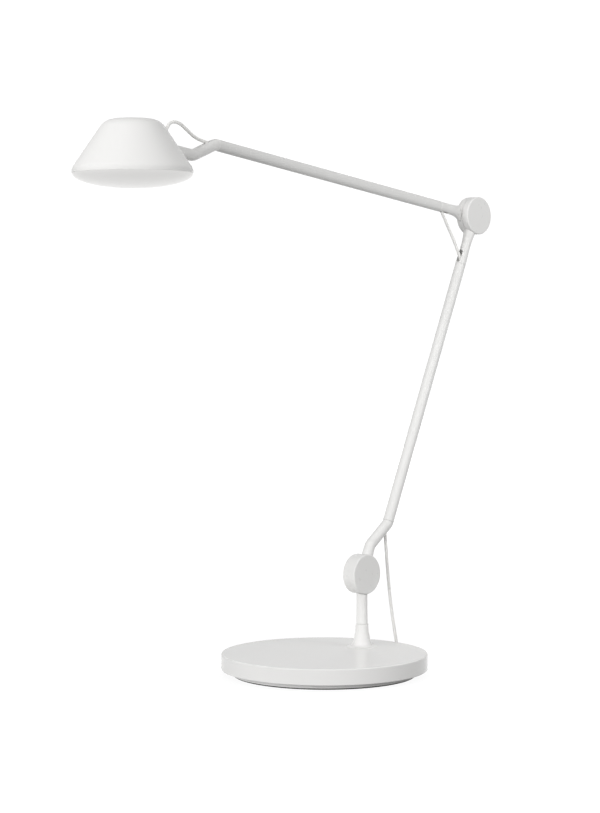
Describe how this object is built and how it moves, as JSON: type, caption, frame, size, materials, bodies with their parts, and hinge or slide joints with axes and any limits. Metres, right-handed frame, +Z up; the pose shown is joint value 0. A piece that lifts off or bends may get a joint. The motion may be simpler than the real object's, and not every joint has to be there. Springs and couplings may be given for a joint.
{
  "type": "adjustable arm table lamp",
  "caption": "White desk lamp: round weighted base, swivelling post, thin jointed arms with friction discs, small tilting conical shade with opal dome, thin cord with switch.",
  "frame": {"origin": "centre of the base disc, on the surface that the lamp stands on", "axes": "+Z up; the arms lie in the plane y = 0; the shade is towards -X, the elbow towards +X"},
  "size_m": [0.6029, 0.2612, 0.5771],
  "materials": {
    "white_casting": "white semi-gloss lacquer on cast aluminium",
    "white_tube": "white semi-gloss lacquer on aluminium tube",
    "white_shade": "white semi-gloss lacquer on spun aluminium",
    "bare_aluminium": "bare, lightly brushed",
    "ballast_steel": "plain sawn steel plate",
    "plinth_paint": "matt white paint on steel",
    "zinc_steel": "zinc-plated steel",
    "bearing_plastic": "white bearing plastic",
    "foot_rubber": "fine-grained dark rubber",
    "board_white": "white solder mask",
    "led_phosphor": "yellow phosphor under clear resin",
    "reflector_white": "white reflector plastic",
    "opal": "milky opal, satin outside",
    "cord_textile": "fine braided pale sleeve",
    "gland_plastic": "white soft plastic",
    "switch_plastic": "fine-grained white plastic",
    "rocker_plastic": "smooth pale grey plastic",
    "tie_plastic": "plain pale grey strip",
    "plug_plastic": "fine-grained white plastic",
    "plug_sleeve_rubber": "soft pale grey",
    "plug_nickel": "bright nickel"
  },
  "bodies": {
    "base": {"base_cover": "white_casting", "ballast_plate": "ballast_steel", "bottom_plate": "plinth_paint", "foot_pad": "foot_rubber", "bottom_screws": "zinc_steel", "post_socket": "white_casting", "socket_nut": "zinc_steel", "swivel_bush": "bearing_plastic", "cord_floor_lead": "cord_textile", "switch_housing": "switch_plastic", "cord_switch_lead": "cord_textile", "cord_coil": "cord_textile", "coil_tie": "tie_plastic", "cord_plug_lead": "cord_textile", "plug_sleeve": "plug_sleeve_rubber", "plug_body": "plug_plastic", "plug_tip": "plug_nickel"},
    "post": {"post_stem": "white_casting", "swivel_spindle": "zinc_steel", "swivel_washer": "zinc_steel", "swivel_nut": "zinc_steel", "lower_rear_cap": "white_casting", "lower_pivot_bolt": "zinc_steel", "lower_pivot_nut": "zinc_steel", "lower_spring_washer": "zinc_steel", "lower_friction_washer": "bearing_plastic", "cord_drop_lower": "cord_textile"},
    "lower_arm": {"lower_gooseneck": "white_casting", "lower_tube": "white_tube", "lower_arm_end": "white_casting", "lower_front_cap": "white_casting", "elbow_front_cap": "white_casting", "cord_lower_run": "cord_textile", "cord_drop_upper": "cord_textile"},
    "upper_arm": {"upper_arm_end": "white_casting", "upper_tube": "white_tube", "head_gooseneck": "white_casting", "elbow_rear_cap": "white_casting", "elbow_pivot_bolt": "zinc_steel", "elbow_pivot_nut": "zinc_steel", "elbow_spring_washer": "zinc_steel", "elbow_friction_washer": "bearing_plastic", "cord_upper_run": "cord_textile", "head_pivot_screw": "zinc_steel", "head_pivot_nut": "zinc_steel", "head_friction_washer": "bearing_plastic", "cord_elbow_span": "cord_textile", "cord_head_loop": "cord_textile"},
    "head": {"shade": "white_shade", "head_bracket": "bare_aluminium", "bracket_screws": "zinc_steel", "heat_sink": "bare_aluminium", "shade_studs": "zinc_steel", "sink_screws": "zinc_steel", "led_board": "board_white", "led_chips": "led_phosphor", "reflector": "reflector_white", "diffuser": "opal", "cord_gland": "gland_plastic"},
    "rocker": {"switch_rocker": "rocker_plastic"}
  },
  "joints": [
    {"name": "base_swivel", "type": "hinge", "parent": "base", "child": "post", "pos_m": [0.05925, 0, 0.048], "axis": [0, 0, 1], "range_deg": [-90, 90], "deforming": ["cord_drop_lower"]},
    {"name": "lower_arm_tilt", "type": "hinge", "parent": "post", "child": "lower_arm", "pos_m": [0.05925, 0, 0.10183], "axis": [0, 1, 0], "range_deg": [-35, 30], "deforming": ["cord_drop_upper"]},
    {"name": "elbow_tilt", "type": "hinge", "parent": "lower_arm", "child": "upper_arm", "pos_m": [0.25001, 0, 0.49717], "axis": [0, 1, 0], "range_deg": [-25, 75], "deforming": ["cord_elbow_span"]},
    {"name": "head_tilt", "type": "hinge", "parent": "upper_arm", "child": "head", "pos_m": [-0.2283, 0, 0.54844], "axis": [0, 1, 0], "range_deg": [-20, 60], "deforming": ["cord_head_loop"]},
    {"name": "switch_rock", "type": "hinge", "parent": "base", "child": "rocker", "pos_m": [0.121, 0.055, 0.0074], "axis": [0.9682, 0.25, 0], "range_deg": [-8, 8]}
  ]
}
